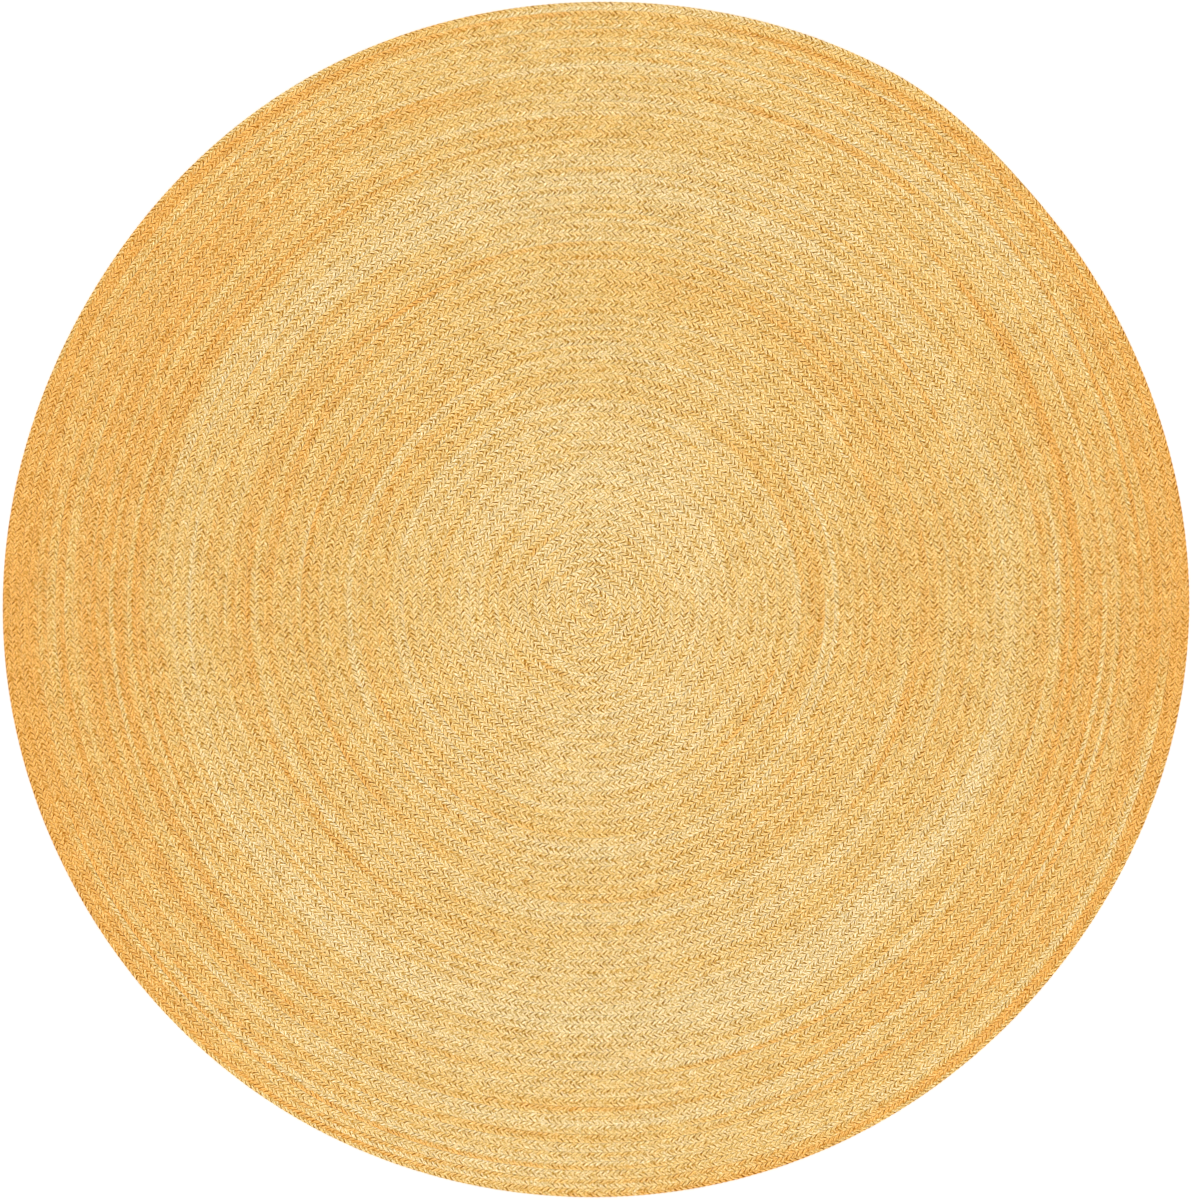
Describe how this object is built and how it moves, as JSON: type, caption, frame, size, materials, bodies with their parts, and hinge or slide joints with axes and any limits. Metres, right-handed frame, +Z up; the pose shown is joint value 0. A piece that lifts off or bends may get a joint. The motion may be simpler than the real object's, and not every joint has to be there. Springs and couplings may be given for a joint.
{
  "type": "round jute rug",
  "caption": "Round flat floor rug of natural golden jute, one flat three-strand braid wound into a spiral and sewn edge to edge, with a fine herringbone face.",
  "frame": {"origin": "on the floor under the middle of the rug's outline", "axes": "+Z up out of the braided face; +X to the right and +Y to the top as the rug is seen from above in the picture"},
  "size_m": [1.8198, 1.8348, 0.008],
  "materials": {
    "golden_jute": "matt natural jute fibre with a slight silky sheen along the strands"
  },
  "bodies": {
    "root": {"braided_rug": "golden_jute"}
  },
  "joints": []
}
